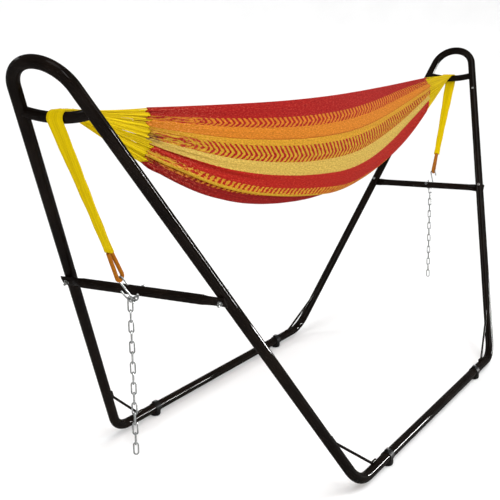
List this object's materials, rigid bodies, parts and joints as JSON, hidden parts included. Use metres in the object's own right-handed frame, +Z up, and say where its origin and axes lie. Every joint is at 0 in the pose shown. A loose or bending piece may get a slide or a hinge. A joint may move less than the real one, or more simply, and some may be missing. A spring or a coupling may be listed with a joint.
{
  "type": "hammock on stand",
  "caption": "Woven hammock hung by S-hooks and chains from a free-standing frame of bent steel tubes with leaning end arches.",
  "frame": {"origin": "on the floor under the middle of the stand", "axes": "+X along the hammock from end a to end b, +Y across it to the left side, +Z up"},
  "size_m": [3.487, 1.082, 1.4921],
  "materials": {
    "tube_finish": "gloss powder coat, very dark bronze",
    "zinc": "bright zinc plate, slightly dulled",
    "foot_plastic": "matt moulded plastic",
    "bed_weave": "loose open weave of cotton cord in lengthwise stripes of red, orange and yellow",
    "yellow_cord": "twisted cotton cord",
    "orange_whipping": "cord wound tightly round the loop"
  },
  "bodies": {
    "stand": {"leg_a_left": "tube_finish", "corner_brace_a_left": "tube_finish", "foot_a_left": "foot_plastic", "leg_a_right": "tube_finish", "corner_brace_a_right": "tube_finish", "foot_a_right": "foot_plastic", "arch_head_a": "tube_finish", "saddle_bar_a": "tube_finish", "crossbar_a": "tube_finish", "crossbar_bolts_a": "zinc", "arch_screws_a": "zinc", "eye_bolt_a": "zinc", "eye_nuts_a": "zinc", "chain_a_top_link": "zinc", "end_rope_a": "yellow_cord", "wrapped_loop_a": "orange_whipping", "leg_b_left": "tube_finish", "corner_brace_b_left": "tube_finish", "foot_b_left": "foot_plastic", "leg_b_right": "tube_finish", "corner_brace_b_right": "tube_finish", "foot_b_right": "foot_plastic", "arch_head_b": "tube_finish", "saddle_bar_b": "tube_finish", "crossbar_b": "tube_finish", "crossbar_bolts_b": "zinc", "arch_screws_b": "zinc", "eye_bolt_b": "zinc", "eye_nuts_b": "zinc", "chain_b_top_link": "zinc", "end_rope_b": "yellow_cord", "wrapped_loop_b": "orange_whipping", "base_tube_left": "tube_finish", "base_tube_right": "tube_finish", "foot_screws": "zinc"},
    "hammock": {"hammock_bed": "bed_weave", "end_cords_a": "yellow_cord", "end_cords_b": "yellow_cord"},
    "s_hook_a": {"s_hook_a": "zinc"},
    "chain_a_tail_1": {"chain_a_tail_1": "zinc"},
    "chain_a_tail_2": {"chain_a_tail_2": "zinc"},
    "chain_a_tail_3": {"chain_a_tail_3": "zinc"},
    "chain_a_tail_4": {"chain_a_tail_4": "zinc"},
    "chain_a_tail_5": {"chain_a_tail_5": "zinc"},
    "s_hook_b": {"s_hook_b": "zinc"},
    "chain_b_tail_1": {"chain_b_tail_1": "zinc"},
    "chain_b_tail_2": {"chain_b_tail_2": "zinc"},
    "chain_b_tail_3": {"chain_b_tail_3": "zinc"},
    "chain_b_tail_4": {"chain_b_tail_4": "zinc"},
    "chain_b_tail_5": {"chain_b_tail_5": "zinc"}
  },
  "joints": [
    {"name": "hammock_swing", "type": "hinge", "parent": "stand", "child": "hammock", "pos_m": [0, 0, 1.34574], "axis": [1, 0, 0], "range_deg": [-25, 25]},
    {"name": "s_hook_a_turn", "type": "hinge", "parent": "stand", "child": "s_hook_a", "pos_m": [-1.35505, 0, 0.75932], "axis": [-0.4669, 0, 0.8843], "range_deg": [-12, 12]},
    {"name": "chain_a_tail_1_swing", "type": "hinge", "parent": "stand", "child": "chain_a_tail_1", "pos_m": [-1.34951, 0, 0.75016], "axis": [1, 0, 0], "range_deg": [-20, 20]},
    {"name": "chain_a_tail_2_swing", "type": "hinge", "parent": "chain_a_tail_1", "child": "chain_a_tail_2", "pos_m": [-1.34951, 0, 0.65056], "axis": [-0.5, 0.866, 0], "range_deg": [-30, 30]},
    {"name": "chain_a_tail_3_swing", "type": "hinge", "parent": "chain_a_tail_2", "child": "chain_a_tail_3", "pos_m": [-1.34951, 0, 0.55096], "axis": [0.866, 0.5, 0], "range_deg": [-30, 30]},
    {"name": "chain_a_tail_4_swing", "type": "hinge", "parent": "chain_a_tail_3", "child": "chain_a_tail_4", "pos_m": [-1.34951, 0, 0.45136], "axis": [-0.5, 0.866, 0], "range_deg": [-30, 30]},
    {"name": "chain_a_tail_5_swing", "type": "hinge", "parent": "chain_a_tail_4", "child": "chain_a_tail_5", "pos_m": [-1.34951, 0, 0.35176], "axis": [0.866, 0.5, 0], "range_deg": [-30, 30]},
    {"name": "s_hook_b_turn", "type": "hinge", "parent": "stand", "child": "s_hook_b", "pos_m": [1.35505, 0, 0.75932], "axis": [0.4669, 0, 0.8843], "range_deg": [-12, 12]},
    {"name": "chain_b_tail_1_swing", "type": "hinge", "parent": "stand", "child": "chain_b_tail_1", "pos_m": [1.34951, 0, 0.75016], "axis": [1, 0, 0], "range_deg": [-20, 20]},
    {"name": "chain_b_tail_2_swing", "type": "hinge", "parent": "chain_b_tail_1", "child": "chain_b_tail_2", "pos_m": [1.34951, 0, 0.65056], "axis": [-0.5, 0.866, 0], "range_deg": [-30, 30]},
    {"name": "chain_b_tail_3_swing", "type": "hinge", "parent": "chain_b_tail_2", "child": "chain_b_tail_3", "pos_m": [1.34951, 0, 0.55096], "axis": [0.866, 0.5, 0], "range_deg": [-30, 30]},
    {"name": "chain_b_tail_4_swing", "type": "hinge", "parent": "chain_b_tail_3", "child": "chain_b_tail_4", "pos_m": [1.34951, 0, 0.45136], "axis": [-0.5, 0.866, 0], "range_deg": [-30, 30]},
    {"name": "chain_b_tail_5_swing", "type": "hinge", "parent": "chain_b_tail_4", "child": "chain_b_tail_5", "pos_m": [1.34951, 0, 0.35176], "axis": [0.866, 0.5, 0], "range_deg": [-30, 30]}
  ]
}
